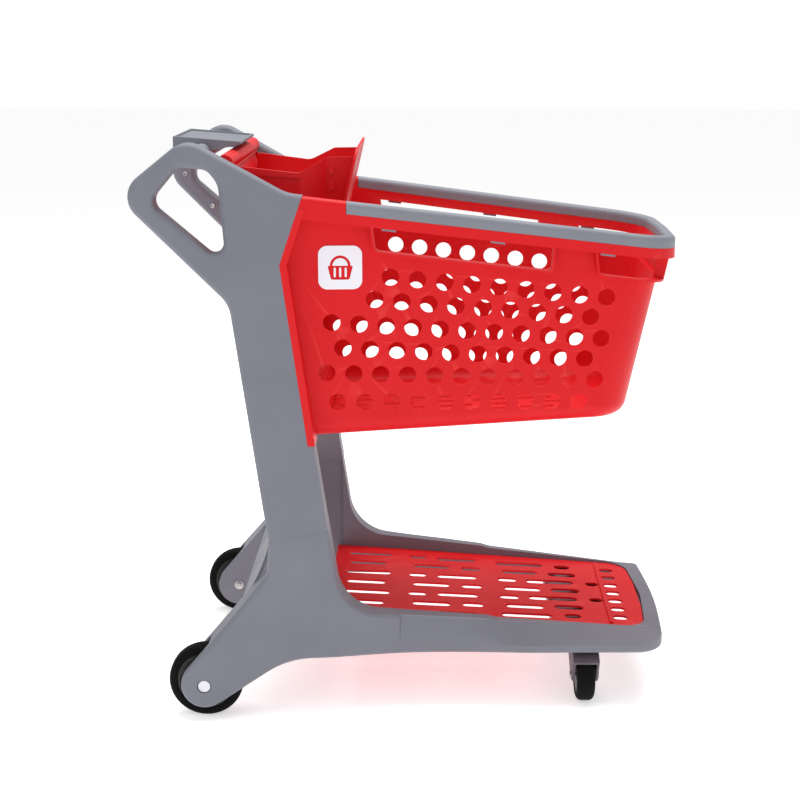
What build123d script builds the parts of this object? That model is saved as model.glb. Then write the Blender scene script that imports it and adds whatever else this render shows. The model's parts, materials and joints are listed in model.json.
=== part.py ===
"""Nesting supermarket trolley with moulded side frames, basket, lower deck, folding rear gate and four wheels.

Millimetres, +X forward, +Y to the cart's left, +Z up. Shapes are drawn with X = 0 at the rear axle and Z = 0 on the floor.
On export everything moves along X, so that the origin lies on the floor under the middle of the cart.
"""
from build123d import *
import math
import os

# ---- driving dimensions -------------------------------------------------
# rear wheels and the forked legs that hold them
wheel_diameter = 127.0
wheel_width = 31.0
tread_thickness = 14.0
wheel_centre_y = 250.0
wheel_side_gap = 5.5
wheel_rim_gap = 8.0
fork_plate = 17.0
boss_radius = 40.0
axle_diameter = 12.0
bush_wall = 2.5
cap_diameter = 21.0
cap_depth = 4.0             # the cap sits this deep in the outer plate

# side frames: outlines of the columns and handle loops
rim_height = 880.0          # top of the side frames where the basket rim starts
rim_start_x = 173.0         # front end of the frame's top edge
column_front_x = 178.0      # front edge of the column under the basket
seam_height = 329.0         # joint between upper frame and base frame, at the front edge
seam_fall = 19.0            # how much lower the joint is at the column's rear edge
column_depth = 100.0
column_foot = 32.0          # the column leans forward by this much at the joint
handle_back_x = -125.0
handle_rise = 100.0         # top of the handle loop above the rim
loop_bar = 52.0
frame_face_y = 247.8        # outer face of the side frames at X = 0 and rim height
frame_toe_in = 0.10         # the outer faces close in towards the front
frame_splay = 0.044         # and open out towards the floor
frame_inner_y = 206.0
frame_edge_radius = 9.0

# base frame and lower deck
deck_rear_z = 172.0
deck_slope = 0.089
base_bottom_z = 99.0
base_front_x = 795.0
base_rail = 25.0
rail_start_x = 330.0
rail_start_y = 222.0        # half the base's width where the straight rails start
rail_taper = 0.119
rail_foot_y = 227.0         # the same, at the foot of the rails
rail_foot_taper = 0.025
rail_foot_z = 115.0         # the rails lean in above this height
rail_inner_y = 197.0
rail_inner_taper = 0.07
rail_corner_length = 47.0
rail_corner_width = 45.0
nose_bow = 8.0              # how far the nose stands out between the front corners
deck_ledge = 9.0
tray_rear_x = 200.0
tray_rear_z = 153.0
tray_slope = 0.0445
tray_thickness = 4.0
tray_lip = 9.0
tray_side_gap = 1.5
tray_front_gap = 6.0
tray_slot = 20.0
tray_row_pitch = 54.5       # at the tray's rear end
tray_row_closing = 0.0265   # the rows close up towards the front
rib_x = 701.0

# basket
basket_length = 534.0
basket_wall = 4.0
basket_rear_y = 210.0       # outer face of the side wall at the column
basket_taper = 0.079        # side walls close in towards the front
basket_floor_z = 478.0
basket_floor_rise = 0.05
basket_front_lean = 0.216
basket_corner = 62.0
basket_bottom_radius = 28.0
rim_overhang = 20.0         # how far the rim stands outside the wall
rim_drop = 0.12             # the rim falls towards the front
bumper_height = 20.0
band_height = 17.0
flange_strip = 12.0
hole_diameter = 29.0
hole_pitch = 44.9
cap_length = 70.0           # painted part of the rim before the bumper starts
opening_start_x = 285.0     # hand opening under the rim
opening_end_x = 581.0
opening_height = 39.0
corner_opening_x = 655.0
corner_opening_half = 128.0
floor_slot = 16.0
floor_slot_length = 62.0
floor_slot_pitch = 82.0
floor_row_pitch = 38.0
lip = 4.0
panel_stand = 12.0          # how far the front panel stands out from the wall
clip_places = (312.0, 490.0, 672.0)

# rear gate and child seat
gate_pivot_x = 46.0
gate_pivot_z = rim_height + 56
gate_lean = 19.0            # degrees from vertical
gate_length = 470.0
gate_top_y = 188.0
gate_bottom_y = 170.0
gate_bar_diameter = 27.0
gate_rod_diameter = 12.0
running_gap = 0.06
gate_plate = 5.0
seat_wall = 3.5
seat_wing_rear_y = 146.0
seat_wing_front_y = 107.0
seat_step_x = 162.0         # the wings close in here, from the wide rear part to the front
seat_front_x = 222.0
seat_top_z = rim_height + 58
seat_back_top_z = rim_height + 75
seat_back_half = 152.0
seat_back_lean = 0.236
seat_floor_z = rim_height - 90
flap_length = 105.0
flap_half = 92.0
flap_thickness = 4.0
flap_pin_diameter = 6.0
flap_slot = 58.0
flap_slot_x = 58.0
boss_x = 213.0              # buttons on the outside of the wings

# handle
handle_bar_diameter = 28.0
handle_bar_x = -5.0
handle_bar_z = rim_height + 66
rod_seat = 18.0             # how deep bars sit in the side frames
handle_tray_half = 98.0
well_rear = -45.0           # the tray's well, from the handle bar
well_front = 61.0
well_depth = 3.5
well_fall = 8.0
joint_screw_y = 228.0
joint_screws_x = (132.0, 186.0)
loop_screw_places = ((-81.0, rim_height + 1), (-31.0, rim_height - 59))

# front casters
caster_x = 652.0
caster_y = 142.0
caster_trail = 37.0
caster_wheel_diameter = 88.0
caster_wheel_width = 32.0
caster_turn = 91.0          # rest angle of the swivel, away from straight ahead
caster_hood = 4.5
hood_rise = 46.0            # degrees above the axle where the hood ends at the back
caster_stem_diameter = 14.0
caster_stem_seat = 14.0     # how deep the stem sits in the fork
caster_socket = 30.0
caster_axle_diameter = 8.0
caster_clearance = 2.5

# badge, screws
badge_x = 232.0
badge_z = rim_height - 113
badge_size = 72.0
badge_thickness = 1.2
joint_screw = 6.0
joint_screw_length = 76.0

# ---- values worked out from them ---------------------------------------
wheel_radius = wheel_diameter / 2
seam_front_x = column_front_x + column_foot
fork_inner_y = wheel_centre_y - wheel_width / 2 - wheel_side_gap - fork_plate
fork_outer_y = wheel_centre_y + wheel_width / 2 + wheel_side_gap + fork_plate
basket_rear_x = column_front_x
basket_front_x = basket_rear_x + basket_length
far = 2000.0
sides = {"left": 1, "right": -1}
parts = {}


def closed(points):
    """A face from (x, z, corner radius) points."""
    places = [(x, z) for x, z, r in points]
    radii = [r for x, z, r in points]
    return make_face(FilletPolyline(*places, radius=radii, close=True))


def prism(face, y_low, y_high):
    """A side-view face, drawn in X and Z, made solid between two Y values."""
    return extrude(Plane.XZ.offset(-y_low) * face, amount=y_high - y_low, dir=(0, 1, 0))


def column(face, z_low, z_high):
    """A plan-view face made solid between two heights."""
    return extrude(Pos(0, 0, z_low) * face, amount=z_high - z_low, dir=(0, 0, 1))


def rod(radius, y_low, y_high, x, z):
    """A round bar along Y."""
    return Pos(x, (y_low + y_high) / 2, z) * Rot(90, 0, 0) * Cylinder(radius, y_high - y_low)


def mirrored(solid, side):
    """The left piece as drawn, or its mirror image for the right side."""
    return solid if side > 0 else mirror(solid, about=Plane.XZ)


def on_both_sides(name, solid):
    for side_name, side in sides.items():
        parts[f"{name}_{side_name}"] = mirrored(solid, side)


def outer_face_y(x, z):
    """Where the side frame's outer face lies."""
    return frame_face_y - frame_toe_in * x + frame_splay * (rim_height - z)


def wall_y(x):
    """Outer face of the basket's side wall."""
    return basket_rear_y - basket_taper * (x - basket_rear_x)


def rim_z(x):
    """Top of the rim along the cart."""
    return rim_height - rim_drop * (x - rim_start_x - 40)


def deck_z(x):
    """Top edge of the base rails."""
    return deck_rear_z - deck_slope * (x - 320)


def front_edge_line():
    """The line where column and basket meet, from the rim down to the flange's lower end."""
    return [
        (rim_start_x, rim_height + 7),
        (rim_start_x - 38, rim_height - 105),
        (column_front_x, basket_floor_z - 4),
    ]


# ---- side frames ----------------------------------------------------------
def side_slab():
    """The space between the tilted outer face and the upright inner face of an upper side frame."""
    outer = Plane(origin=(0, frame_face_y, rim_height), z_dir=(frame_toe_in, 1, frame_splay))
    inside = extrude(outer * Rectangle(far, far), amount=-far / 4)
    return inside & Pos(0, frame_inner_y + far / 2, far / 2) * Box(far, far, 2 * far)


def upper_outline():
    top = rim_height + handle_rise
    seam_rear_x = seam_front_x - column_depth
    edge = front_edge_line()
    return closed([
        (seam_rear_x, seam_height - seam_fall, 0),
        (seam_front_x, seam_height, 0),
        (column_front_x + 10, edge[2][1], 2),
        (edge[2][0], edge[2][1], 0),
        (edge[1][0], edge[1][1], 0),
        (edge[0][0], edge[0][1], 0),
        (148, rim_height + 9, 75),
        (-14, top - 2, 40),
        (handle_back_x, top - 91, 40),
        (52, rim_height - 169, 55),
    ])


def loop_hole():
    top = rim_height + handle_rise
    back = handle_back_x + loop_bar
    return closed([
        (back, top - 104, 20),
        (-25, top - 47, 14),
        (20, top - 52, 20),
        (38, top - 74, 40),
        (46, top - 172, 9),
        (33, top - 194, 15),
    ])


def front_x(z):
    """X of the front edge of the frame at a height."""
    line = [(seam_front_x, seam_height), (column_front_x + 10, basket_floor_z - 4)]
    line += front_edge_line()[::-1]
    for (x_low, z_low), (x_high, z_high) in zip(line, line[1:]):
        if z_low <= z < z_high:
            return x_low + (x_high - x_low) * (z - z_low) / (z_high - z_low)
    return line[-1][0]


def rounds_over(edge, on_face):
    """Long edges of one face that are open to the hand: not the joint, nor where the basket meets."""
    middle = edge.position_at(0.5)
    on_step = abs(middle.Z - front_edge_line()[2][1]) < 0.5
    in_front = middle.X > front_x(middle.Z) - 2
    return on_face(middle) and not (on_step or in_front or is_joint(middle))


def upper_frame():
    blank = prism(upper_outline() - loop_hole(), frame_inner_y - 20, frame_inner_y + 120)
    solid = (blank & side_slab()).solids()[0]
    outside = [e for e in solid.edges() if rounds_over(e, on_outer_face)]
    solid = fillet(outside, frame_edge_radius)
    inside = [e for e in solid.edges() if rounds_over(e, on_inner_face)]
    solid = fillet(inside, frame_edge_radius)
    solid -= rod(gate_rod_diameter / 2, 0, frame_inner_y + rod_seat, gate_pivot_x, gate_pivot_z)
    solid -= rod(handle_bar_diameter / 2, 0, frame_inner_y + rod_seat, handle_bar_x, handle_bar_z)
    for x in joint_screws_x:
        solid -= Pos(x, joint_screw_y, joint_z(x) + 5) * Cylinder(joint_screw / 2, 60)
    solid -= loop_screws()
    return solid


def on_outer_face(point):
    return abs(point.Y - outer_face_y(point.X, point.Z)) < 0.5


def on_inner_face(point):
    return abs(point.Y - frame_inner_y) < 0.5


# ---- base frame -------------------------------------------------------------
def leg_outline():
    """Side view of a base side: seam, column foot, rail and the leg that runs down to the rear axle."""
    rise = math.radians(49.8)
    fall = math.radians(30)
    upper = (-boss_radius * math.sin(rise), wheel_radius + boss_radius * math.cos(rise))
    lower = (boss_radius * math.sin(fall), wheel_radius - boss_radius * math.cos(fall))
    run = (base_bottom_z - lower[1]) / math.tan(fall)
    rear_x = seam_front_x - column_depth
    knee = rear_x - 3 - upper[0]
    outline = closed([
        (rear_x, seam_height - seam_fall, 0),
        (seam_front_x, seam_height, 0),
        (column_front_x + 55, deck_z(column_front_x + 55), 78),
        (480, deck_z(480), 30),
        (497, deck_z(497) - 3, 30),
        (base_front_x + 20, deck_z(base_front_x + 20) - 3, 0),
        (base_front_x + 20, base_bottom_z, 0),
        (lower[0] + run, base_bottom_z, 150),
        (lower[0], lower[1], 0),
        (upper[0], upper[1], 0),
        (rear_x - 3, upper[1] + knee * math.tan(rise), 40),
    ])
    return outline + Pos(0, wheel_radius) * Circle(boss_radius)


def crest_y(x):
    """Outer edge of the rails' top."""
    return rail_start_y - rail_taper * (x - rail_start_x)


def foot_y(x):
    """Outer edge of the base in plan, at the foot of the rails."""
    return rail_foot_y - rail_foot_taper * (x - rail_start_x)


def inner_y(x):
    """Inner face of the rails."""
    return rail_inner_y - rail_inner_taper * (x - rail_start_x)


def above_rail(x):
    """Cross-section of the space above a rail's sloping outer face."""
    crest = (crest_y(x), deck_z(x) - 3)
    return Plane(origin=(x, 0, 0), x_dir=(0, 1, 0), z_dir=(1, 0, 0)) * make_face(Polyline(
        (foot_y(x) + 0.2, rail_foot_z), crest, (crest[0], 300), (foot_y(x) + 60, 300),
        (foot_y(x) + 60, rail_foot_z), close=True))


def base_plan():
    """Plan view of the base's outer edge, wide at the rear wheels and round at the front."""
    front = base_front_x
    corner_start_x = front - nose_bow - rail_corner_length
    corner_start = (corner_start_x, foot_y(corner_start_x))
    corner_end = (front - nose_bow, foot_y(corner_start_x) - rail_corner_width)
    swell = [(110, fork_outer_y - 25), (seam_front_x, fork_outer_y - 38.5)]
    straight = [(x, foot_y(x)) for x in (rail_start_x, rail_start_x + 200)]
    half = Spline((-80, fork_outer_y), (20, fork_outer_y), *swell, *straight, corner_start,
                  tangents=[(1, 0), (1, -rail_foot_taper)])
    corner = TangentArc(corner_start, corner_end, tangent=(1, -rail_foot_taper))
    bow = Spline(corner_end, (front, 0), tangents=[corner % 1, (0, -1)])
    edge = Curve() + [half, corner, bow]
    loop = edge + mirror(edge, about=Plane.XZ) + Line((-80, -fork_outer_y), (-80, fork_outer_y))
    return make_face(Wire(loop.edges()))


def base_hollow(ledge=0.0):
    """Plan view of the space between the two sides, open to the rear."""
    inside = base_front_x - base_rail - ledge
    foot = seam_front_x
    return closed([
        (-120, -fork_inner_y, 0),
        (90, -fork_inner_y, 60),
        (foot, -frame_inner_y + 4 + ledge, 60),
        (rail_start_x, -inner_y(rail_start_x) + ledge, 60),
        (inside - 12, -inner_y(inside - 12) + ledge, 45),
        (inside, 0, 300),
        (inside - 12, inner_y(inside - 12) - ledge, 45),
        (rail_start_x, inner_y(rail_start_x) - ledge, 60),
        (foot, frame_inner_y - 4 - ledge, 60),
        (90, fork_inner_y, 60),
        (-120, fork_inner_y, 0),
    ])


def tray_z(x):
    """Top of the lower tray."""
    return tray_rear_z - tray_slope * (x - tray_rear_x)


def above_ledge():
    """Side view of everything above the ledge that carries the tray."""
    return closed([
        (-200, tray_z(-200) - tray_lip, 0),
        (900, tray_z(900) - tray_lip, 0),
        (900, 500, 0),
        (-200, 500, 0),
    ])


def joint_z(x):
    """Height of the joint between upper frame and base frame."""
    return seam_height - seam_fall * (seam_front_x - x) / column_depth


def is_joint(point):
    return abs(point.Z - joint_z(point.X)) < 0.6


def base_rim_edges(solid, outline):
    """Edges that follow a plan outline and are open to the hand."""
    wire = outline.faces()[0].outer_wire()
    found = []
    for edge in solid.edges():
        middle = edge.position_at(0.5)
        level = abs((edge % 0.5).Z) < 0.999
        if level and not is_joint(middle) and wire.distance_to(Vector(middle.X, middle.Y, 0)) < 0.6:
            found.append(edge)
    return found


def base_frame():
    solid = prism(leg_outline(), -fork_outer_y - 10, fork_outer_y + 10)
    solid &= column(base_plan(), 0, seam_height + 10)
    upper_hollow = column(base_hollow(), 0, seam_height + 10)
    solid -= upper_hollow & prism(above_ledge(), -far / 4, far / 4)
    solid -= column(base_hollow(deck_ledge), 0, seam_height + 10)
    solid -= Pos(-60, 0, 0) * Box(2 * (seam_front_x + 60), 2 * fork_inner_y - 10, 800)
    solid = solid.solids()[0]
    solid = fillet(base_rim_edges(solid, base_plan()), frame_edge_radius - 1)
    slope = loft([above_rail(rail_start_x), above_rail(base_front_x + 20)], ruled=True)
    solid = (solid - slope - mirrored(slope, -1)).solids()[0]
    half_slot = wheel_width / 2 + wheel_side_gap
    for side in sides.values():
        wheel_y = side * wheel_centre_y
        solid -= rod(wheel_radius + wheel_rim_gap, wheel_y - half_slot, wheel_y + half_slot, 0, wheel_radius)
        solid -= rod(axle_diameter / 2, wheel_y - 60, wheel_y + 60, 0, wheel_radius)
        cap_face = side * (fork_outer_y + 4)
        solid -= Pos(0, cap_face, wheel_radius) * Rot(90, 0, 0) * Cylinder(cap_diameter / 2 + 1.5, 16)
        for x in joint_screws_x:
            solid -= Pos(x, side * joint_screw_y, joint_z(x) - 20) * Cylinder(joint_screw / 2, 60)
        solid -= Pos(caster_x, side * caster_y, base_bottom_z) * Cylinder(caster_socket / 2, 120)
    return solid


def slot_row(first_x, last_x, y, plane_z):
    """One slot along the cart, as a cutter through a sloping floor."""
    length = last_x - first_x
    place = Pos((first_x + last_x) / 2, y, plane_z)
    return extrude(place * SlotOverall(length, tray_slot), amount=60, both=True)


# slots in the tray, from the rear, and the pattern each row takes
long_first = [(222, 309), (341, 376), (394, 470), (508, 545), (561, 650), (672, 697)]
short_last = [(227, 300), (349, 419), (439, 479), (518, 587), (605, 658)]
outer_rows = [(222, 309), (341, 376), (394, 470), (508, 600), (620, 650)]
tray_rows = {-3: outer_rows, -2: short_last, -1: long_first, 0: short_last, 1: long_first, 2: short_last, 3: outer_rows}


def deck_tray():
    plan = base_hollow()
    body = column(offset(plan, -tray_side_gap), 0, seam_height)
    front = base_front_x - base_rail - tray_front_gap
    body &= Pos((tray_rear_x + front) / 2, 0, 150) * Box(front - tray_rear_x, far, 300)
    top = [(tray_rear_x - 1, tray_z(tray_rear_x - 1), 0), (front + 1, tray_z(front + 1), 0)]
    lip_line = [(x, z - tray_lip, 0) for x, z, r in reversed(top)]
    tray = body & prism(closed(top + lip_line), -far / 4, far / 4)
    inner = column(offset(plan, -tray_side_gap - tray_thickness), 0, seam_height)
    inner &= Pos((tray_rear_x + front) / 2, 0, 150) * Box(front - tray_rear_x - 2 * tray_thickness, far, 300)
    under = [(x, z - tray_thickness, 0) for x, z, r in top]
    low = [(x, z - 30, 0) for x, z, r in reversed(top)]
    tray -= inner & prism(closed(under + low), -far / 4, far / 4)
    tray += tray_rib()
    for row, spans in tray_rows.items():
        for first_x, last_x in spans:
            y = row * (tray_row_pitch - tray_row_closing * ((first_x + last_x) / 2 - tray_rear_x))
            tray -= slot_row(first_x, last_x, y, tray_z(first_x))
        end_y = row * (tray_row_pitch - tray_row_closing * (rib_x - tray_rear_x))
        tray -= slot_row(rib_x + 5, rib_x + 32, end_y, tray_z(rib_x))
    return tray.solids().sort_by(SortBy.VOLUME)[-1]


def tray_rib():
    """Raised stop across the tray near its front end."""
    half = inner_y(rib_x) - 14
    return Pos(rib_x, 0, tray_z(rib_x) + 0.5) * Box(5, 2 * half, 7)


def caster_beam():
    """Cross member under the tray that carries both caster sockets."""
    top = tray_z(caster_x + 52) - tray_lip - 1
    low = base_bottom_z
    beam = column(base_hollow(deck_ledge), low, top)
    beam &= Pos(caster_x, 0, (top + low) / 2) * Box(104, far, top - low)
    for side in sides.values():
        bore = Pos(caster_x, side * caster_y, low) * Cylinder(caster_socket / 2, 60)
        beam -= bore
    return beam.solids()[0]


def rear_cross_panel():
    """Curved panel between the two column feet, above the rear axle line."""
    thickness = 5.0
    rear = [(column_front_x - 66, 322), (column_front_x - 92, 236), (column_front_x - 122, 184)]
    outer = ThreePointArc(*rear)
    inner = ThreePointArc(*[(x + thickness, z - 1) for x, z in rear])
    rim = Line(outer @ 0, inner @ 0)
    foot = Line(outer @ 1, inner @ 1)
    face = make_face(Wire([*outer.edges(), *inner.edges(), *rim.edges(), *foot.edges()]))
    between_columns = prism(face, -frame_inner_y, frame_inner_y)
    between_feet = prism(face, -fork_inner_y - 10, fork_inner_y + 10)
    between_feet &= column(base_hollow(), 0, joint_z(seam_front_x - column_depth) - 1)
    return (between_columns + between_feet).solids()[0]


# ---- basket ---------------------------------------------------------------
def floor_z(x):
    """Underside of the basket floor."""
    return basket_floor_z + basket_floor_rise * (x - basket_rear_x)


def front_wall_x(z):
    """Outer face of the basket's front wall."""
    return basket_front_x + basket_front_lean * (z - floor_z(basket_front_x))


def trapezoid(x_low, x_high, grow=0.0):
    """Plan view between the two side walls, grown outwards by an amount."""
    return closed([
        (x_low, -wall_y(x_low) - grow, 0),
        (x_high, -wall_y(x_high) - grow, 0),
        (x_high, wall_y(x_high) + grow, 0),
        (x_low, wall_y(x_low) + grow, 0),
    ])


def basket_block(inset):
    """The basket's outer shape, or its inside when inset by the wall; its rear end runs on past the gate."""
    rear = -100.0
    front_low = basket_front_x - inset
    profile = closed([
        (rear, floor_z(rear) + inset, 0),
        (front_low, floor_z(front_low) + inset, 0),
        (front_wall_x(1000) - inset, 1000, 0),
        (rear, 1000, 0),
    ])
    block = prism(profile, -far / 4, far / 4) & column(trapezoid(rear - 10, 1200, -inset), 0, 1100)
    block = block.solids()[0]
    upright = [e for e in block.edges() if upright_front(e)]
    block = fillet(upright, basket_corner - inset)
    low = [e for e in block.edges() if on_floor(e, inset)]
    return fillet(low, basket_bottom_radius - inset)


def upright_front(edge):
    middle = edge.position_at(0.5)
    return abs((edge % 0.5).Z) > 0.8 and middle.X > basket_front_x - 50


def on_floor(edge, inset):
    middle = edge.position_at(0.5)
    at_rear = middle.X < 0 and abs((edge % 0.5).Y) > 0.9
    return abs(middle.Z - floor_z(middle.X) - inset) < 0.5 and not at_rear


def rim_plan(grow):
    """Plan view of the basket at rim level, round at the front corners, grown outwards by an amount."""
    rear = rim_start_x - 80
    front = front_wall_x(rim_z(basket_front_x) - bumper_height) + 0.8 * grow
    corner = basket_corner + grow
    return closed([
        (rear, -wall_y(rear) - grow, 0),
        (front - 2, -wall_y(front) - grow, corner),
        (front + 3, 0, 900),
        (front - 2, wall_y(front) + grow, corner),
        (rear, wall_y(rear) + grow, 0),
    ])


def rim_strip(drop, height, x_low=-far / 4, x_high=far):
    """Side view of a strip that follows the rim, a drop below its top."""
    return closed([
        (x_low, rim_z(x_low) - drop, 0),
        (x_high, rim_z(x_high) - drop, 0),
        (x_high, rim_z(x_high) - drop - height, 0),
        (x_low, rim_z(x_low) - drop - height, 0),
    ])


def behind_front_edge(shift=0.0):
    """Side view of the space in front of the line where basket and column meet."""
    edge = [(x + shift, z, 0) for x, z in front_edge_line()]
    top_x = edge[0][0] + 2
    return closed([(top_x, 1100, 0), *edge, (edge[2][0], 400, 0), (900, 400, 0), (900, 1100, 0)])


def rim_blank():
    """The rounded rail round the top of the basket, before it is split into the red cap and the bumper."""
    ring = column(rim_plan(rim_overhang), 600, 1100) - column(rim_plan(-basket_wall), 600, 1100)
    ring &= prism(rim_strip(0, bumper_height), -far / 4, far / 4)
    ring &= prism(behind_front_edge(), -far / 4, far / 4)
    ring = ring.solids()[0]
    top = [e for e in ring.edges() if on_rim_top(e)]
    return fillet(top, 8.5)


def on_rim_top(edge):
    middle = edge.position_at(0.5)
    across = abs((edge % 0.5).Y) > 0.9 and middle.X < rim_start_x + 20
    return abs(middle.Z - rim_z(middle.X)) < 0.5 and not across


def rim_part(x_low, x_high):
    blank = rim_blank()
    keep = Pos((x_low + x_high) / 2, 0, 800) * Box(x_high - x_low, far, 600)
    return blank & keep


def opening_outline(grow):
    """Side view of the long hand opening, grown outwards for its lip."""
    start, end = opening_start_x - grow, opening_end_x + grow
    low = bumper_height + band_height + opening_height + grow
    high = bumper_height + band_height - grow
    return closed([
        (start, rim_z(start) - high, 0),
        (start + 5, rim_z(start) - low, 9 + grow),
        (end - 2, rim_z(end) - low, 9 + grow),
        (end, rim_z(end) - high, 0),
    ])


def corner_outline(grow):
    """Side view of the opening that wraps round a front corner, grown outwards for its lip."""
    start = corner_opening_x - grow
    low = bumper_height + band_height + opening_height - 2 + grow
    high = bumper_height + band_height - grow
    return closed([
        (start, rim_z(start) - high, 0),
        (start + 5, rim_z(start) - low, 9 + grow),
        (900, rim_z(900) - low - 3, 0),
        (900, rim_z(900) - high, 0),
    ])


def front_panel_space(inset):
    """Where the basket's front wall stands out as a panel between the two corner openings."""
    half = corner_opening_half - inset
    high = rim_z(basket_front_x) - bumper_height - band_height - lip - inset
    low = high - opening_height - lip + 2 * inset
    return Pos(basket_front_x + 50, 0, (low + high) / 2) * Box(120, 2 * half, high - low)


def outward_band(face, reach, inside):
    """A side-view face made solid outside the basket's wall, as far as the rim's outer face."""
    ring = column(rim_plan(reach), 400, 1100) - inside
    return ring & prism(face, -far / 4, far / 4)


def rear_flange():
    """The frame round the basket's rear opening, flush with the columns."""
    edge = front_edge_line()
    front = [(x + flange_strip, z, 0) for x, z in edge]
    strip = closed([(x, z, 0) for x, z in edge] + front[::-1])
    slab = Plane(origin=(0, frame_face_y, rim_height), z_dir=(frame_toe_in, 1, frame_splay))
    inside = extrude(slab * Rectangle(far, far), amount=-far / 4)
    gate_side = gate_top_y + 5
    solid = prism(strip, gate_side, far / 4) & inside
    top = prism(closed([(0, 0, 0), (900, 0, 0), (900, rim_z(900) - bumper_height, 0),
                        (0, rim_z(0) - bumper_height, 0)]), 0, far / 4)
    return (solid & top).solids()[0]


# rows of round holes: first hole from the column, its height over the floor, how many, fall along the row
hole_rows = [
    (136, 272, 9, 0.104),
    (110, 235, 9, 0.092),
    (39, 197, 11, 0.071),
    (57, 154, 10, 0.057),
    (30, 112, 11, 0.038),
    (48, 62, 10, 0.012),
]


def side_holes():
    """Round holes in rows that fan out towards the front."""
    holes = []
    for first_x, first_z, count, fall in hole_rows:
        for i in range(count):
            x = basket_rear_x + first_x + i * hole_pitch
            z = basket_floor_z + first_z - i * hole_pitch * fall
            holes.append(rod(hole_diameter / 2, -wall_y(x) - 40, wall_y(x) + 40, x, z))
    return holes


def floor_slots():
    """Slots along the basket floor, staggered from row to row."""
    slots = []
    for row in range(-4, 5):
        start = basket_rear_x + (52 if row % 2 else 30)
        for i in range(6):
            x = start + i * floor_slot_pitch
            last = x + floor_slot_length
            y = row * (floor_row_pitch - 0.012 * (x - basket_rear_x))
            if last < basket_front_x - basket_corner:
                place = Pos((x + last) / 2, y, floor_z(x) - 20)
                slots.append(extrude(place * SlotOverall(last - x, floor_slot), amount=60, dir=(0, 0, 1)))
    return slots


def basket():
    inside = basket_block(basket_wall)
    clear = prism(behind_front_edge(), -far / 4, far / 4)
    under_rim = prism(closed([(-200, 0, 0), (1200, 0, 0), (1200, rim_z(1200) - bumper_height, 0),
                              (-200, rim_z(-200) - bumper_height, 0)]), -far / 4, far / 4)
    shell = (basket_block(0) & clear & under_rim) - inside
    flange = rear_flange()
    band = outward_band(rim_strip(bumper_height, band_height), rim_overhang, inside) & clear
    lips = outward_band(opening_outline(lip) - opening_outline(0), rim_overhang, inside) & under_rim
    proud = basket_block(-panel_stand)
    corner_lips = (proud - inside) & prism(corner_outline(lip) - corner_outline(0), -far / 4, far / 4)
    panel = (proud - inside) & front_panel_space(0)
    pocket = basket_block(basket_wall - panel_stand) & front_panel_space(basket_wall)
    solid = shell + band + lips + corner_lips + panel + flange + mirrored(flange, -1) - pocket
    solid -= prism(opening_outline(0), 100, far / 4)
    solid -= prism(opening_outline(0), -far / 4, -100)
    for low, high in ((corner_opening_half, far / 4), (-far / 4, -corner_opening_half)):
        solid -= prism(corner_outline(0), low, high)
    solid = solid.solids().sort_by(SortBy.VOLUME)[-1]
    solid -= side_holes()
    solid -= floor_slots()
    cap = rim_part(rim_start_x - 60, rim_start_x + cap_length)
    return (solid + cap).solids().sort_by(SortBy.VOLUME)[-1]


def rim_bumper():
    return rim_part(rim_start_x + cap_length + 0.5, far).solids()[0]


# ---- rear gate and child seat ---------------------------------------------
gate_plane = Plane(
    origin=(gate_pivot_x, 0, gate_pivot_z),
    x_dir=(0, 1, 0),
    z_dir=(math.cos(math.radians(gate_lean)), 0, math.sin(math.radians(gate_lean))),
)
flap_pin_x = gate_pivot_x + (gate_pivot_z - seat_floor_z) * math.tan(math.radians(gate_lean)) + 13


def gate_half_width(down):
    """Half the gate's width at a distance below its pivot."""
    return gate_top_y - (gate_top_y - gate_bottom_y) * down / gate_length


def gate_panel():
    """Grille of the rear gate, with two leg holes above a field of upright slots."""
    top = gate_bar_diameter / 2 - 4
    half_top, half_low = gate_half_width(top), gate_half_width(gate_length)
    outline = make_face(FilletPolyline(
        (-half_top, -top), (half_top, -top), (half_low, -gate_length), (-half_low, -gate_length),
        radius=[6, 6, 26, 26], close=True))
    for side in sides.values():
        outline -= Pos(side * 52, -95) * RectangleRounded(74, 96, 18)
    for column_place in range(-5, 6):
        for level, height in ((-215, 74), (-300, 74), (-385, 74)):
            outline -= Pos(column_place * 27, level - 12) * SlotOverall(height, 15, rotation=90)
    panel = extrude(gate_plane * outline, amount=gate_plate / 2, both=True)
    rim_outer = make_face(FilletPolyline(
        (-half_top, -top), (half_top, -top), (half_low, -gate_length), (-half_low, -gate_length),
        radius=[6, 6, 26, 26], close=True))
    rim = rim_outer - offset(rim_outer, -gate_plate)
    panel += extrude(gate_plane * rim, amount=gate_plate + 2, both=True)
    panel -= rod(gate_bar_diameter / 2, -far / 4, far / 4, gate_pivot_x, gate_pivot_z)
    return panel.solids().sort_by(SortBy.VOLUME)[-1]


def gate_bar():
    bar = rod(gate_bar_diameter / 2, -frame_inner_y + 3, frame_inner_y - 3, gate_pivot_x, gate_pivot_z)
    bore = gate_rod_diameter / 2 + running_gap
    return bar - rod(bore, -far / 4, far / 4, gate_pivot_x, gate_pivot_z)


def gate_rod():
    end = frame_inner_y + rod_seat
    return rod(gate_rod_diameter / 2, -end, end, gate_pivot_x, gate_pivot_z)


def wing_plan(grow):
    """Plan view of the seat's side wings, from the gate to the seat back."""
    rear, front = seat_wing_rear_y + grow, seat_wing_front_y + grow
    return closed([
        (20, -rear - 2, 0),
        (seat_step_x, -rear + 12, 12),
        (seat_step_x + 44, -front, 14),
        (seat_front_x + 30, -front + 4, 0),
        (seat_front_x + 30, front - 4, 0),
        (seat_step_x + 44, front, 14),
        (seat_step_x, rear - 12, 12),
        (20, rear + 2, 0),
    ])


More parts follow.
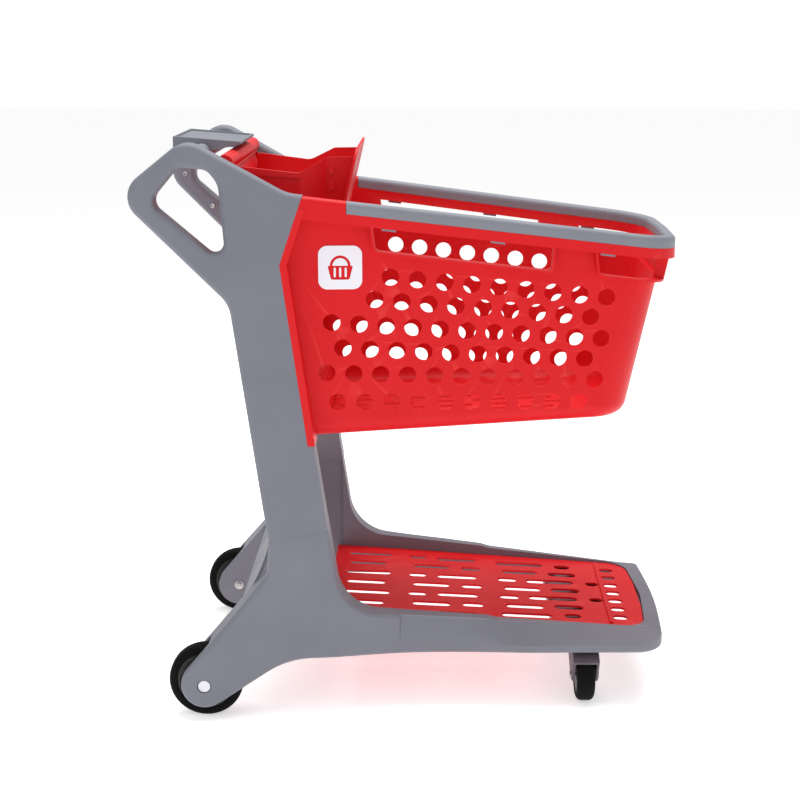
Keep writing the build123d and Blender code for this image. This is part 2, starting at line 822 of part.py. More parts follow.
def seat_side_view():
    """Side view of the wings, from the gate's front face to the seat back."""
    slope = math.tan(math.radians(gate_lean))
    face = gate_plate / 2 / math.cos(math.radians(gate_lean))
    low = seat_floor_z - 4
    return closed([
        (gate_pivot_x + (gate_pivot_z - 925) * slope + face + 12, 925.5, 3),
        (seat_step_x - 2, 914, 24),
        (seat_step_x + 44, seat_top_z, 14),
        (seat_front_x + 30, seat_top_z + 1, 0),
        (seat_front_x, low, 0),
        (gate_pivot_x + (gate_pivot_z - low) * slope + face, low, 0),
        (gate_pivot_x + (gate_pivot_z - 900) * slope + face, 900, 0),
    ])


def seat_back():
    """Leaning back of the seat, round at its top corners."""
    height = seat_back_top_z - seat_floor_z + 4
    length = height * math.hypot(1, seat_back_lean)
    back_plane = Plane(
        origin=(seat_front_x - 6, 0, seat_floor_z - 4),
        x_dir=(0, 1, 0),
        z_dir=(1, 0, -seat_back_lean),
    )
    outline = make_face(FilletPolyline(
        (-seat_back_half, 0), (seat_back_half, 0), (seat_back_half, length), (-seat_back_half, length),
        radius=[8, 8, 26, 26], close=True))
    return extrude(back_plane * outline, amount=seat_wall + 0.5, dir=(1, 0, -seat_back_lean))


def behind_seat_back():
    """Everything behind the middle of the seat back's thickness."""
    low_x = seat_front_x - 6 + seat_wall / 2
    side_view = closed([
        (0, seat_floor_z - 100, 0),
        (low_x - 100 * seat_back_lean, seat_floor_z - 104, 0),
        (low_x + 200 * seat_back_lean, seat_floor_z + 196, 0),
        (0, seat_floor_z + 196, 0),
    ])
    return prism(side_view, -far / 4, far / 4)


def child_seat():
    """Wings, back and the strengthening rim of the child seat, one moulding."""
    wings = column(wing_plan(0), 700, 1000) - column(wing_plan(-seat_wall), 700, 1000)
    wings &= prism(seat_side_view(), -far / 4, far / 4)
    wings &= behind_seat_back()
    ledge = column(wing_plan(seat_wall), 700, 1000) - column(wing_plan(-0.5), 700, 1000)
    ledge &= prism(seat_side_view(), -far / 4, far / 4)
    shelf = closed([(40, 931, 0), (seat_step_x + 4, 921, 0), (seat_step_x + 4, 905, 0), (40, 915.5, 0)])
    ledge &= prism(shelf, -far / 4, far / 4)
    flap_under = seat_floor_z - flap_thickness / 2
    flap_rest = Pos(seat_front_x - 10, 0, flap_under - 2.1) * Box(20, 1.7 * flap_half, 4)
    seat = wings + ledge + seat_back() + flap_rest
    for side in sides.values():
        y = side * (seat_wing_front_y - 1)
        for drop in (20, 46):
            boss = Plane.XZ * SlotOverall(19, 11, rotation=90)
            boss = extrude(boss, amount=3, both=True)
            seat += Pos(boss_x, y, seat_top_z - drop) * boss
        seat -= rod(3, min(y - 20, y + 20), max(y - 20, y + 20), boss_x, seat_top_z - 20)
    return seat.solids().sort_by(SortBy.VOLUME)[-1]


def flap_brackets():
    """Two ears on the gate that hold the seat flap's pin."""
    slope = math.tan(math.radians(gate_lean))
    ears = []
    for side in sides.values():
        foot_x = gate_pivot_x + (gate_pivot_z - seat_floor_z) * slope
        face = gate_plate / 2 / math.cos(math.radians(gate_lean))
        ear = closed([
            (foot_x + face - 14 * slope, seat_floor_z + 14, 0),
            (flap_pin_x + 7, seat_floor_z + 8, 7),
            (flap_pin_x + 7, seat_floor_z - 8, 7),
            (foot_x + face + 14 * slope, seat_floor_z - 14, 0),
        ])
        low = side * (flap_half + 4)
        plate = prism(ear, min(low, low + side * 7), max(low, low + side * 7))
        ears.append(plate - rod(flap_pin_diameter / 2, -far / 4, far / 4, flap_pin_x, seat_floor_z))
    return ears


def flap_pin():
    end = flap_half + 12
    return rod(flap_pin_diameter / 2, -end, end, flap_pin_x, seat_floor_z)


def seat_flap():
    """Seat board that folds up over the leg holes."""
    barrel = rod(flap_pin_diameter / 2 + 3.5, -flap_half, flap_half, flap_pin_x, seat_floor_z)
    board = Pos(flap_pin_x + flap_length / 2, 0, seat_floor_z) * Box(flap_length, 2 * flap_half, flap_thickness)
    corners = [e for e in board.edges() if abs((e % 0.5).Z) > 0.9 and e.position_at(0.5).X > flap_pin_x + 60]
    board = fillet(corners, 14)
    flap = barrel + board
    for row in range(-2, 3):
        flap -= Pos(flap_pin_x + flap_slot_x, row * 34, seat_floor_z) * extrude(SlotOverall(flap_slot, 12), amount=20, both=True)
    flap -= rod(flap_pin_diameter / 2 + running_gap, -far / 4, far / 4, flap_pin_x, seat_floor_z)
    return flap.solids()[0]


# ---- handle -----------------------------------------------------------------
def handle_bar():
    end = frame_inner_y + rod_seat
    bar = rod(handle_bar_diameter / 2, -end, end, handle_bar_x, handle_bar_z)
    return bar


def handle_tray():
    """Shallow tray on the handle bar, thick at the back and thin at the front."""
    top_z = handle_bar_z + 26
    side_view = closed([
        (handle_bar_x - 49, top_z, 2),
        (handle_bar_x + 66, top_z - 9, 2),
        (handle_bar_x + 66, top_z - 14, 2),
        (handle_bar_x + 20, top_z - 23, 20),
        (handle_bar_x - 2, top_z - 30, 10),
        (handle_bar_x - 49, top_z - 21, 4),
    ])
    tray = prism(side_view, -handle_tray_half, handle_tray_half)
    fall = well_fall / (well_front - well_rear)
    well = closed([
        (handle_bar_x + well_rear, top_z - well_depth, 0),
        (handle_bar_x + well_front, top_z - well_depth - well_fall, 0),
        (handle_bar_x + well_front + 40 * fall, top_z - well_depth - well_fall + 40, 0),
        (handle_bar_x + well_rear + 40 * fall, top_z - well_depth + 40, 0),
    ])
    tray -= prism(well, -handle_tray_half + 5, handle_tray_half - 5)
    tray -= rod(handle_bar_diameter / 2, -far / 4, far / 4, handle_bar_x, handle_bar_z)
    return tray.solids().sort_by(SortBy.VOLUME)[-1]


def loop_screws():
    """Pan heads on the inner face of the handle loop."""
    return [rod(4.5, frame_inner_y - 2, frame_inner_y + 12, x, z) for x, z in loop_screw_places]


# ---- rear wheels ------------------------------------------------------------
def ring(outer, inner, width, edge_radius):
    """A tyre or hub: a ring about the Y axis with rounded outer corners."""
    half = width / 2
    section = make_face(FilletPolyline(
        (inner, -half), (outer, -half), (outer, half), (inner, half),
        radius=[0, edge_radius, edge_radius, 0], close=True))
    return revolve(Plane.XY * section, Axis.Y)


def rear_hub():
    radius = wheel_radius - tread_thickness
    hub = ring(radius, axle_diameter / 2 + bush_wall, wheel_width - 5, 1)
    groove = ring(radius - 5, axle_diameter / 2 + bush_wall + 6, wheel_width, 0.5)
    thin = groove - ring(radius, 1, wheel_width - 15, 0.5)
    return Pos(0, wheel_centre_y, wheel_radius) * (hub - thin)


def rear_tyre():
    return Pos(0, wheel_centre_y, wheel_radius) * ring(wheel_radius, wheel_radius - tread_thickness, wheel_width, 9)


def wheel_bush():
    inner = axle_diameter / 2 + running_gap
    return Pos(0, wheel_centre_y, wheel_radius) * ring(inner - running_gap + bush_wall, inner, wheel_width + 6, 0.3)


def rear_axle():
    return rod(axle_diameter / 2, fork_inner_y, fork_outer_y - cap_depth, 0, wheel_radius)


def axle_cap():
    cap = rod(cap_diameter / 2, fork_outer_y - cap_depth, fork_outer_y + 0.5, 0, wheel_radius)
    rim = [e for e in cap.edges() if e.position_at(0.5).Y > fork_outer_y]
    return fillet(rim, 0.8)


def axle_nut():
    """Head of the axle bolt on the inner plate."""
    washer = rod(9, fork_inner_y - 1.6, fork_inner_y, 0, wheel_radius)
    head = rod(5.5, fork_inner_y - 6, fork_inner_y - 1.6, 0, wheel_radius)
    return washer + head


def joint_bolts():
    """Screws that hold the upper frame on the base frame."""
    bolts = []
    for x in joint_screws_x:
        middle = joint_z(x) - 7.5
        bolts.append(Pos(x, joint_screw_y, middle) * Cylinder(joint_screw / 2, joint_screw_length))
    return bolts


# ---- front casters ------------------------------------------------------------
def turned(solid):
    """A left caster piece, drawn trailing straight back, set at its swivel and turned to its rest angle."""
    return Pos(caster_x, caster_y, 0) * Rot(0, 0, -caster_turn) * solid


def caster_fork():
    """Hooded fork over the caster's wheel."""
    radius = caster_wheel_diameter / 2
    hood = radius + caster_clearance + caster_hood
    half = caster_wheel_width / 2 + caster_clearance + caster_hood
    centre = -caster_trail
    rise = math.radians(hood_rise)
    lip_x, lip_z = centre - hood * math.cos(rise), radius + hood * math.sin(rise)
    cover = Pos(centre, radius) * Circle(hood)
    cover -= Pos(centre, lip_z - 100) * Rectangle(400, 200)
    leg = closed([
        (lip_x, lip_z, 0),
        (centre - 13, radius - 8, 9),
        (centre + 13, radius - 8, 9),
        (20, radius + hood - 26, 6),
        (20, radius + hood, 4),
        (centre, radius + hood, 0),
    ])
    body = prism(cover + leg, -half, half)
    edges = [e for e in body.edges() if abs(abs(e.position_at(0.5).Y) - half) < 0.1]
    body = fillet(edges, 2.5)
    tunnel = half - caster_hood
    body -= rod(radius + caster_clearance, -tunnel, tunnel, centre, radius)
    body -= rod(caster_axle_diameter / 2, -half - 1, half + 1, centre, radius)
    stem_low = radius + hood - caster_stem_seat
    body -= Pos(0, 0, stem_low + 10) * Cylinder(caster_stem_diameter / 2, 20)
    return turned(body.solids().sort_by(SortBy.VOLUME)[-1])


def caster_stem():
    """Kingpin, fast in the fork and turning in the socket."""
    radius = caster_wheel_diameter / 2
    low = 2 * radius + caster_clearance + caster_hood - caster_stem_seat
    high = tray_z(caster_x) - tray_lip - 4
    pin = Pos(0, 0, (low + high) / 2) * Cylinder(caster_stem_diameter / 2, high - low)
    return turned(pin)


def caster_bush():
    """Socket in the cross member, with a flange under it."""
    low = base_bottom_z
    high = tray_z(caster_x) - tray_lip - 3
    body = Pos(0, 0, (low + high) / 2) * Cylinder(caster_socket / 2, high - low)
    body += Pos(0, 0, low - 1) * Cylinder(caster_socket / 2 + 7, 2)
    body -= Pos(0, 0, low) * Cylinder(caster_stem_diameter / 2 + running_gap, 100)
    return Pos(caster_x, caster_y, 0) * body


def caster_place(solid):
    return turned(Pos(-caster_trail, 0, caster_wheel_diameter / 2) * solid)


def caster_axle():
    half = caster_wheel_width / 2 + caster_clearance + caster_hood
    pin = rod(caster_axle_diameter / 2, -half, half, 0, 0)
    for side in sides.values():
        pin += rod(caster_axle_diameter / 2 + 2.5, *sorted((side * half, side * (half + 2.5))), 0, 0)
    return caster_place(pin)


def caster_hub():
    bore = caster_axle_diameter / 2 + running_gap
    return caster_place(ring(caster_wheel_diameter / 2 - 12, bore, caster_wheel_width - 3, 1))


def caster_tyre():
    radius = caster_wheel_diameter / 2
    return caster_place(ring(radius, radius - 12, caster_wheel_width, 10))


# ---- trim -----------------------------------------------------------------
def bumper_clips():
    """Tabs of the bumper that show under the rim, at the openings and at the front."""
    clips = []
    drop = bumper_height + band_height
    for x in clip_places:
        for side in sides.values():
            y = side * (wall_y(x) + 8)
            clips.append(Pos(x, y, rim_z(x) - drop - 2) * Rot(0, math.degrees(math.atan(rim_drop)), 0) * Box(24, 12, 4))
    front = front_wall_x(rim_z(basket_front_x) - drop)
    clips.append(Pos(front + panel_stand + 6, 0, rim_z(front) - drop - 2) * Box(10, 180, 4))
    return clips


def badge():
    """Plain round-cornered plate with a simple basket sign."""
    plate = RectangleRounded(badge_size, badge_size, 15)
    sign = make_face(FilletPolyline((-21, 3), (21, 3), (15, -20), (-15, -20), radius=[2, 2, 4, 4], close=True))
    grip = Pos(0, 3) * (Circle(17) - Circle(12.5))
    grip -= Pos(0, -17) * Rectangle(60, 40)
    for x in (-9, 0, 9):
        sign -= Pos(x, -8) * SlotOverall(16, 3.5, rotation=90)
    face = plate - sign - grip
    wall_plane = Plane(
        origin=(badge_x, wall_y(badge_x) + 0.1, badge_z),
        x_dir=(-1, basket_taper, 0),
        z_dir=(basket_taper, 1, 0),
    )
    return extrude(wall_plane * face, amount=badge_thickness)


def build():
    parts["base_frame"] = base_frame()
    on_both_sides("upper_frame", upper_frame())
    parts["rear_cross_panel"] = rear_cross_panel()
    parts["deck_tray"] = deck_tray()
    parts["caster_beam"] = caster_beam()
    parts["basket"] = basket()
    parts["rim_bumper"] = rim_bumper()
    parts["bumper_clips"] = [clip - parts["basket"] for clip in bumper_clips()]
    on_both_sides("badge", badge())
    parts["handle_bar"] = handle_bar()
    parts["handle_tray"] = handle_tray()
    for name, piece in (("loop_screws", loop_screws), ("joint_bolts", joint_bolts)):
        group = piece()
        parts[name + "_left"] = group
        parts[name + "_right"] = [mirrored(solid, -1) for solid in group]
    parts["gate_rod"] = gate_rod()
    parts["gate_bar"] = gate_bar()
    parts["gate_panel"] = gate_panel()
    parts["child_seat"] = child_seat()
    parts["flap_brackets"] = flap_brackets()
    parts["flap_pin"] = flap_pin()
    parts["seat_flap"] = seat_flap()
    for piece in (rear_axle, axle_cap, axle_nut, wheel_bush, rear_hub, rear_tyre):
        on_both_sides(piece.__name__, piece())
    for piece in (caster_bush, caster_stem, caster_fork, caster_axle, caster_hub, caster_tyre):
        on_both_sides(piece.__name__, piece())


def write():
    """Moves the cart over its origin and writes one file per node."""
    os.makedirs("parts", exist_ok=True)
    groups = {name: Compound(children=list(p)) if isinstance(p, list) else p for name, p in parts.items()}
    box = Compound([shape for shape in groups.values()]).bounding_box()
    middle_x = (box.min.X + box.max.X) / 2
    for name, shape in groups.items():
        export_step(Pos(-middle_x, 0, 0) * shape, f"parts/{name}.step")
    print("rear axle at X", round(-middle_x, 4), "size", box.size)


build()
write()
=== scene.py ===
# Nesting shopping cart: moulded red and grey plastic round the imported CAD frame.
import json
import math
import bpy
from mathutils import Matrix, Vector


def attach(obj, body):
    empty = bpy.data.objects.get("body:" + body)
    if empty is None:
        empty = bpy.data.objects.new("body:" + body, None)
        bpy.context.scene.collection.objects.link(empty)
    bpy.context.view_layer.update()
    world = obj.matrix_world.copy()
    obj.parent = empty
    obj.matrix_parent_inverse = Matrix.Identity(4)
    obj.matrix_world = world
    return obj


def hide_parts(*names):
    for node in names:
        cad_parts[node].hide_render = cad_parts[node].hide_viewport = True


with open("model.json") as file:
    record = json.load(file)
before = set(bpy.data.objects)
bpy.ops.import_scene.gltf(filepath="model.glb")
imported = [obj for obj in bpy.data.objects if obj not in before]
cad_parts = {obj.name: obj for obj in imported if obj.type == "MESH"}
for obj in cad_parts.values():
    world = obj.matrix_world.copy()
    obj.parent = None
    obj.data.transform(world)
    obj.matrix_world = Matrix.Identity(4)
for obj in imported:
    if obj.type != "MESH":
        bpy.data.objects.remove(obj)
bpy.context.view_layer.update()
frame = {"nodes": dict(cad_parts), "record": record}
nodes = frame["nodes"]
mm = 0.001
slotOf = {row["node"]: row["material_slot"] for row in frame["record"]["subparts"]}
bodyOf = {}
for bodyName, bodyNodes in frame["record"]["behaviour"]["bodies"].items():
    for nodeName in bodyNodes:
        bodyOf[nodeName] = bodyName
bpy.ops.object.select_all(action="DESELECT")
print("frame loaded,", len(nodes), "nodes")


# ---------- materials
def linear(hexColour):
    parts = [int(hexColour[i:i + 2], 16) / 255 for i in (1, 3, 5)]
    return tuple(c / 12.92 if c <= 0.04045 else ((c + 0.055) / 1.055) ** 2.4 for c in parts) + (1,)


def addNode(tree, kind, settings=None, links=None):
    node = tree.nodes.new(kind)
    for key, value in (settings or {}).items():
        if key in node.inputs:
            node.inputs[key].default_value = value
        else:
            setattr(node, key, value)
    for key, source in (links or {}).items():
        tree.links.new(source, node.inputs[key])
    return node


def newMaterial(name):
    material = bpy.data.materials.new(name)
    material.use_nodes = True
    tree = material.node_tree
    tree.nodes.clear()
    return material, tree


def finish(tree, surface):
    out = addNode(tree, "ShaderNodeOutputMaterial")
    tree.links.new(surface, out.inputs["Surface"])


def noise(tree, coords, sizeMm, detail=2.0, rough=0.5):
    # a noise whose blobs are sizeMm across
    return addNode(tree, "ShaderNodeTexNoise",
                   {"Scale": 1 / (sizeMm * mm), "Detail": detail, "Roughness": rough}, {"Vector": coords})


def ramp(tree, source, low, high, fromLow=0.35, fromHigh=0.65):
    return addNode(tree, "ShaderNodeMapRange",
                   {"From Min": fromLow, "From Max": fromHigh, "To Min": low, "To Max": high},
                   {"Value": source})


def mixColour(tree, factor, first, second):
    mix = addNode(tree, "ShaderNodeMix", {"data_type": "RGBA"}, {0: factor})
    for place, colour in ((6, first), (7, second)):
        if isinstance(colour, tuple):
            mix.inputs[place].default_value = colour
        else:
            tree.links.new(colour, mix.inputs[place])
    return mix.outputs[2]


mouldedSurface = {"waveShare": 0.25, "waveDepth": 0.4 * mm, "grainDepth": 0.12 * mm, "ior": 1.49,
                  "rubFrom": 0.54, "rubTo": 0.66, "dustFrom": 0.60, "dustTo": 0.72,
                  "smoother": 0.04, "rougher": 0.05}


def mouldedPlastic(name, spec):
    # injection moulded plastic: spark-eroded grain, faint flow marks, edges rubbed a shade lighter
    material, tree = newMaterial(name)
    surface = mouldedSurface
    coords = addNode(tree, "ShaderNodeTexCoord").outputs["Object"]
    flow = noise(tree, coords, spec["flowMm"], 3.0)
    grain = noise(tree, coords, spec["grainMm"], 2.0, 0.6)
    waves = noise(tree, coords, spec["flowMm"] * surface["waveShare"], 1.0)
    speck = noise(tree, coords, spec["speckMm"], 4.0, 0.7)
    colour = mixColour(tree, ramp(tree, flow.outputs["Fac"], 0, 1).outputs[0],
                       linear(spec["colour"]), linear(spec["flowColour"]))
    edge = addNode(tree, "ShaderNodeNewGeometry").outputs["Pointiness"]
    rub = ramp(tree, edge, 0, spec["rub"], surface["rubFrom"], surface["rubTo"]).outputs[0]
    colour = mixColour(tree, rub, colour, linear(spec["rubColour"]))
    dust = ramp(tree, speck.outputs["Fac"], 0, spec["dust"],
                surface["dustFrom"], surface["dustTo"]).outputs[0]
    colour = mixColour(tree, dust, colour, linear(spec["rubColour"]))
    low, high = spec["rough"] - surface["smoother"], spec["rough"] + surface["rougher"]
    rough = ramp(tree, flow.outputs["Fac"], low, high).outputs[0]
    ripple = addNode(tree, "ShaderNodeBump", {"Strength": spec["waves"], "Distance": surface["waveDepth"]},
                     {"Height": waves.outputs["Fac"]})
    bump = addNode(tree, "ShaderNodeBump", {"Strength": spec["grain"], "Distance": surface["grainDepth"]},
                   {"Height": grain.outputs["Fac"], "Normal": ripple.outputs[0]})
    shader = addNode(tree, "ShaderNodeBsdfPrincipled",
                     {"IOR": surface["ior"], "Specular IOR Level": spec["specular"]},
                     {"Base Color": colour, "Roughness": rough, "Normal": bump.outputs[0]})
    finish(tree, shader.outputs[0])
    return material


def rubber(name, spec):
    # vulcanised tyre rubber: matt, in slightly dustier and rougher patches
    material, tree = newMaterial(name)
    coords = addNode(tree, "ShaderNodeTexCoord").outputs["Object"]
    patches = noise(tree, coords, spec["patchMm"], 4.0, 0.6)
    grit = noise(tree, coords, spec["gritMm"], 3.0, 0.6)
    colour = mixColour(tree, ramp(tree, patches.outputs["Fac"], 0, 1).outputs[0],
                       linear(spec["colour"]), linear(spec["dustColour"]))
    rough = ramp(tree, patches.outputs["Fac"], spec["rough"], spec["rough"] + spec["rougher"]).outputs[0]
    bump = addNode(tree, "ShaderNodeBump", {"Strength": spec["grit"], "Distance": spec["gritDepth"]},
                   {"Height": grit.outputs["Fac"]})
    shader = addNode(tree, "ShaderNodeBsdfPrincipled", {"IOR": 1.52, "Specular IOR Level": spec["specular"]},
                     {"Base Color": colour, "Roughness": rough, "Normal": bump.outputs[0]})
    finish(tree, shader.outputs[0])
    return material


def zincPlate(name, spec):
    # bright zinc on steel: fine crystals and slightly clouded patches
    material, tree = newMaterial(name)
    coords = addNode(tree, "ShaderNodeTexCoord").outputs["Object"]
    cloud = noise(tree, coords, spec["cloudMm"], 3.0)
    fine = noise(tree, coords, spec["fineMm"], 2.0)
    colour = mixColour(tree, ramp(tree, cloud.outputs["Fac"], 0, 1).outputs[0],
                       linear(spec["colour"]), linear(spec["cloudColour"]))
    rough = ramp(tree, cloud.outputs["Fac"], spec["smooth"], spec["rough"]).outputs[0]
    bump = addNode(tree, "ShaderNodeBump", {"Strength": spec["fine"], "Distance": spec["fineDepth"]},
                   {"Height": fine.outputs["Fac"]})
    shader = addNode(tree, "ShaderNodeBsdfPrincipled", {"Metallic": 1.0},
                     {"Base Color": colour, "Roughness": rough, "Normal": bump.outputs[0]})
    finish(tree, shader.outputs[0])
    return material


# colours and sizes of each finish
redPlastic = {"colour": "#DC171F", "flowColour": "#D8151D", "rubColour": "#EE4A44", "rub": 0.35, "dust": 0.05,
              "flowMm": 90, "grainMm": 1.1, "speckMm": 7, "rough": 0.42, "grain": 0.16, "waves": 0.06,
              "specular": 0.22}
greyPlastic = {"colour": "#7D7F89", "flowColour": "#797B85", "rubColour": "#9C9EA6", "rub": 0.35,
               "dust": 0.05, "flowMm": 110, "grainMm": 1.2, "speckMm": 6, "rough": 0.52,
               "grain": 0.22, "waves": 0.05, "specular": 0.3}
bumperGrey = dict(greyPlastic, colour="#868891", flowColour="#82848D", rough=0.46)
blackPlastic = {"colour": "#18181A", "flowColour": "#151517", "rubColour": "#3A3A3E", "rub": 0.4,
                "dust": 0.10, "flowMm": 40, "grainMm": 1.0, "speckMm": 5, "rough": 0.42,
                "grain": 0.2, "waves": 0.05, "specular": 0.5}
forkPlastic = dict(blackPlastic, colour="#625A62", flowColour="#5C545C", rubColour="#7C757D", rough=0.55)
whiteCap = dict(greyPlastic, colour="#EEEEF6", flowColour="#E8E8F2", rubColour="#FFFFFF",
                rough=0.3, grain=0.05)
tyreRubber = {"colour": "#080808", "dustColour": "#0F0F10", "rough": 0.68, "rougher": 0.15, "specular": 0.12,
              "patchMm": 18, "gritMm": 1.6, "grit": 0.35, "gritDepth": 0.2 * mm}
brightZinc = {"colour": "#C9C9C6", "cloudColour": "#A8A9A9", "smooth": 0.26, "rough": 0.42,
              "cloudMm": 9, "fineMm": 0.7, "fine": 0.2, "fineDepth": 0.05 * mm}

finishes = {
    "red_plastic": mouldedPlastic("RedMouldedPolypropylene", redPlastic),
    "grey_plastic": mouldedPlastic("GreyMouldedPolypropylene", greyPlastic),
    "grey_bumper": mouldedPlastic("GreySoftMouldedEdge", bumperGrey),
    "grey_tube": mouldedPlastic("GreyGripSleeve", greyPlastic),
    "badge_white": mouldedPlastic("WhitePrintedFilm", whiteCap),
    "cap_white": mouldedPlastic("WhiteAcetalCap", whiteCap),
    "black_plastic": mouldedPlastic("BlackMouldedNylon", blackPlastic),
    "fork_plastic": mouldedPlastic("GreyGlassFilledNylon", forkPlastic),
    "black_rubber": rubber("VulcanisedRubber", tyreRubber),
    "zinc_steel": zincPlate("ZincPlatedSteel", brightZinc),
}
print("materials made:", len(finishes))


# ---------- CAD nodes: own finish, and softened edges on the moulded ones
def dress(piece, slot):
    piece.data.materials.clear()
    piece.data.materials.append(finishes[slot])


mouldedEdges = {"mergeWithin": 0.01 * mm, "flatDegrees": 0.4, "sharpDegrees": 32, "smoothDegrees": 30,
                "segments": 2}


def evenNormals(piece):
    # large flat faces keep their own direction beside the small rounded edges
    even = piece.modifiers.new("Normals", "WEIGHTED_NORMAL")
    even.mode = "FACE_AREA_WITH_ANGLE"
    even.weight = 50
    even.keep_sharp = True
    bpy.ops.object.modifier_apply(modifier="Normals")


def softenedCopy(nodeName, widthMm, spec):
    # a merged copy of the node with its hard edges rounded, as every moulding has
    source = nodes[nodeName]
    piece = source.copy()
    piece.data = source.data.copy()
    piece.parent = None
    piece.name = nodeName + "_moulded"
    bpy.context.scene.collection.objects.link(piece)
    bpy.ops.object.select_all(action="DESELECT")
    bpy.context.view_layer.objects.active = piece
    piece.select_set(True)
    bpy.ops.mesh.customdata_custom_splitnormals_clear()
    bpy.ops.object.mode_set(mode="EDIT")
    bpy.ops.mesh.select_all(action="SELECT")
    bpy.ops.mesh.remove_doubles(threshold=spec["mergeWithin"])
    bpy.ops.mesh.dissolve_limited(angle_limit=math.radians(spec["flatDegrees"]))
    bpy.ops.object.mode_set(mode="OBJECT")
    bevel = piece.modifiers.new("Edges", "BEVEL")
    bevel.limit_method = "ANGLE"
    bevel.angle_limit = math.radians(spec["sharpDegrees"])
    bevel.width = widthMm * mm
    bevel.segments = spec["segments"]
    bevel.use_clamp_overlap = True
    bpy.ops.object.modifier_apply(modifier="Edges")
    bpy.ops.object.shade_smooth_by_angle(angle=math.radians(spec["smoothDegrees"]))
    evenNormals(piece)
    piece.select_set(False)
    dress(piece, slotOf[nodeName])
    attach(piece, bodyOf[nodeName])
    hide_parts(nodeName)
    return piece


# width in mm of the rounded edge on each moulded node
softEdges = {
    "basket": 0.9, "rim_bumper": 1.0, "upper_frame_left": 0.9, "upper_frame_right": 0.9, "base_frame": 0.9,
    "deck_tray": 0.8, "gate_panel": 0.8, "child_seat": 0.8, "seat_flap": 0.8, "handle_tray": 0.9,
    "rear_cross_panel": 0.8, "caster_fork_left": 0.6, "caster_fork_right": 0.6, "bumper_clips": 0.6,
    "gate_bar": 0.6, "flap_brackets": 0.5, "rear_hub_left": 0.6, "rear_hub_right": 0.6,
}
for nodeName, node in nodes.items():
    if nodeName in softEdges:
        softenedCopy(nodeName, softEdges[nodeName], mouldedEdges)
    else:
        dress(node, slotOf[nodeName])
print("edges softened on", len(softEdges), "pieces")


# ---------- screw heads in the handle loops, which the CAD leaves plain
loopScrews = {"places": ((-0.42595, 0.881), (-0.37595, 0.821)), "face": 0.206, "radius": 4.5 * mm,
              "height": 2.0 * mm, "dome": 1.0 * mm, "socket": 1.9 * mm, "socketDepth": 1.3 * mm,
              "socketDraft": 0.1 * mm, "edge": 0.5 * mm, "edgeSegments": 3, "sides": 48, "smoothDegrees": 40}


def pickFaces(piece, test):
    # leaves only the wanted faces selected, in edit mode
    bpy.ops.object.mode_set(mode="EDIT")
    bpy.ops.mesh.select_mode(type="FACE")
    bpy.ops.mesh.select_all(action="DESELECT")
    bpy.ops.object.mode_set(mode="OBJECT")
    for face in piece.data.polygons:
        face.select = test(face)
    bpy.ops.object.mode_set(mode="EDIT")


def panScrew(x, z, side, spec):
    # domed head with a round drive socket, sitting on the loop's inner face
    bpy.ops.object.select_all(action="DESELECT")
    bpy.ops.mesh.primitive_cylinder_add(vertices=spec["sides"], radius=spec["radius"], depth=spec["height"],
                                        location=(x, side * (spec["face"] - spec["height"] / 2), z),
                                        rotation=(math.radians(90) * side, 0, 0))
    screw = bpy.context.active_object
    pickFaces(screw, lambda face: face.normal.z > 0.9)
    bpy.ops.mesh.inset(thickness=spec["dome"], depth=0)
    bpy.ops.mesh.inset(thickness=spec["radius"] - spec["dome"] - spec["socket"], depth=0)
    bpy.ops.mesh.inset(thickness=spec["socketDraft"], depth=-spec["socketDepth"])
    bpy.ops.object.mode_set(mode="OBJECT")
    bpy.ops.object.transform_apply(location=True, rotation=True, scale=True)
    bevel = screw.modifiers.new("Edges", "BEVEL")
    bevel.limit_method = "ANGLE"
    bevel.width = spec["edge"]
    bevel.segments = spec["edgeSegments"]
    bpy.ops.object.modifier_apply(modifier="Edges")
    bpy.ops.object.shade_smooth_by_angle(angle=math.radians(spec["smoothDegrees"]))
    screw.data.materials.append(finishes["zinc_steel"])
    return screw


def screwRow(sideName, side, spec):
    heads = [panScrew(x, z, side, spec) for x, z in spec["places"]]
    bpy.ops.object.select_all(action="DESELECT")
    for head in heads:
        head.select_set(True)
    bpy.context.view_layer.objects.active = heads[0]
    bpy.ops.object.join()
    heads[0].name = "LoopScrewHeads_" + sideName
    heads[0].select_set(False)
    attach(heads[0], "cart")
    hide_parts("loop_screws_" + sideName)


for sideName, side in (("left", 1), ("right", -1)):
    screwRow(sideName, side, loopScrews)
print("loop screws made")


# ---------- floor, light, camera
paleFloor = {"size": 30, "place": (0, 4, 0), "colour": "#FDFDFD", "rough": 0.9, "specular": 0.1, "glow": 0.50}


def studioFloor(spec):
    # pale painted floor, faintly self-lit so that it runs into the white backdrop
    bpy.ops.mesh.primitive_plane_add(size=spec["size"], location=spec["place"])
    floor = bpy.context.active_object
    floor.name = "StudioFloor"
    material, tree = newMaterial("PalePaintedFloor")
    shader = addNode(tree, "ShaderNodeBsdfPrincipled",
                     {"Base Color": linear(spec["colour"]), "Roughness": spec["rough"],
                      "Specular IOR Level": spec["specular"],
                      "Emission Color": (1, 1, 1, 1), "Emission Strength": spec["glow"]})
    finish(tree, shader.outputs[0])
    floor.data.materials.append(material)
    floor.select_set(False)


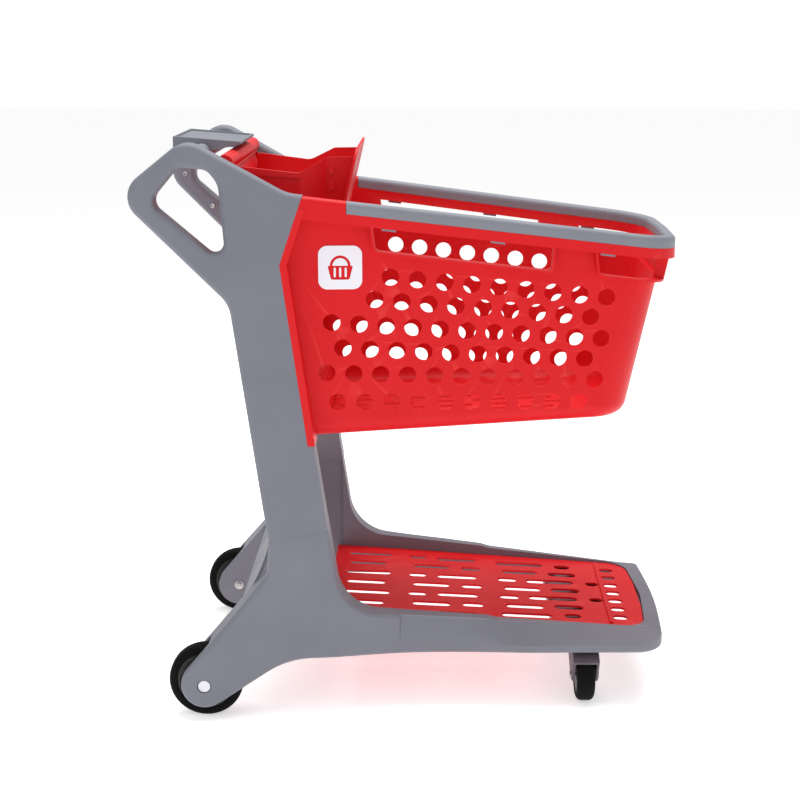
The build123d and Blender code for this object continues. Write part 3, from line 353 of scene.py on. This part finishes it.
lights = {
    "KeyLight": {"place": (-1.6, -2.4, 3.0), "aim": (0, 0, 0.5), "size": 2.4, "watts": 20},
    "FillLight": {"place": (2.6, -2.6, 2.0), "aim": (0, 0, 0.5), "size": 3.0, "watts": 7},
    "TopLight": {"place": (0.2, 0.6, 3.4), "aim": (0, 0, 0.4), "size": 3.0, "watts": 108},
}


def softLight(name, spec):
    data = bpy.data.lights.new(name, "AREA")
    data.shape = "SQUARE"
    data.size = spec["size"]
    data.energy = spec["watts"]
    lamp = bpy.data.objects.new(name, data)
    bpy.context.scene.collection.objects.link(lamp)
    lamp.location = spec["place"]
    aim = Vector(spec["aim"]) - Vector(spec["place"])
    lamp.rotation_euler = aim.to_track_quat("-Z", "Y").to_euler()


studioFloor(paleFloor)
for lightName, lightSpec in lights.items():
    softLight(lightName, lightSpec)

# the backdrop is white to the eye and dimmer as a light
backdropLight = {"asLight": 0.47, "seen": 1.0}
world = bpy.data.worlds.new("WhiteStudio")
world.use_nodes = True
sky = world.node_tree
sky.nodes.clear()
rays = addNode(sky, "ShaderNodeLightPath")
strength = addNode(sky, "ShaderNodeMapRange",
                   {"To Min": backdropLight["asLight"], "To Max": backdropLight["seen"]},
                   {"Value": rays.outputs["Is Camera Ray"]})
backdrop = addNode(sky, "ShaderNodeBackground", {"Color": (1, 1, 1, 1)}, {"Strength": strength.outputs[0]})
skyOut = addNode(sky, "ShaderNodeOutputWorld")
sky.links.new(backdrop.outputs[0], skyOut.inputs["Surface"])
bpy.context.scene.world = world

viewer = {"place": (0.0371, -2.7946, 1.1611), "downDegrees": 13.4, "turnDegrees": 1.15,
          "lensMm": 71.73, "filmMm": 36}
cameraData = bpy.data.cameras.new("Camera")
cameraData.lens = viewer["lensMm"]
cameraData.sensor_width = viewer["filmMm"]
camera = bpy.data.objects.new("Camera", cameraData)
bpy.context.scene.collection.objects.link(camera)
camera.location = viewer["place"]
camera.rotation_euler = (math.radians(90 - viewer["downDegrees"]), 0, math.radians(viewer["turnDegrees"]))
bpy.context.scene.camera = camera
bpy.context.scene.view_settings.view_transform = "Standard"
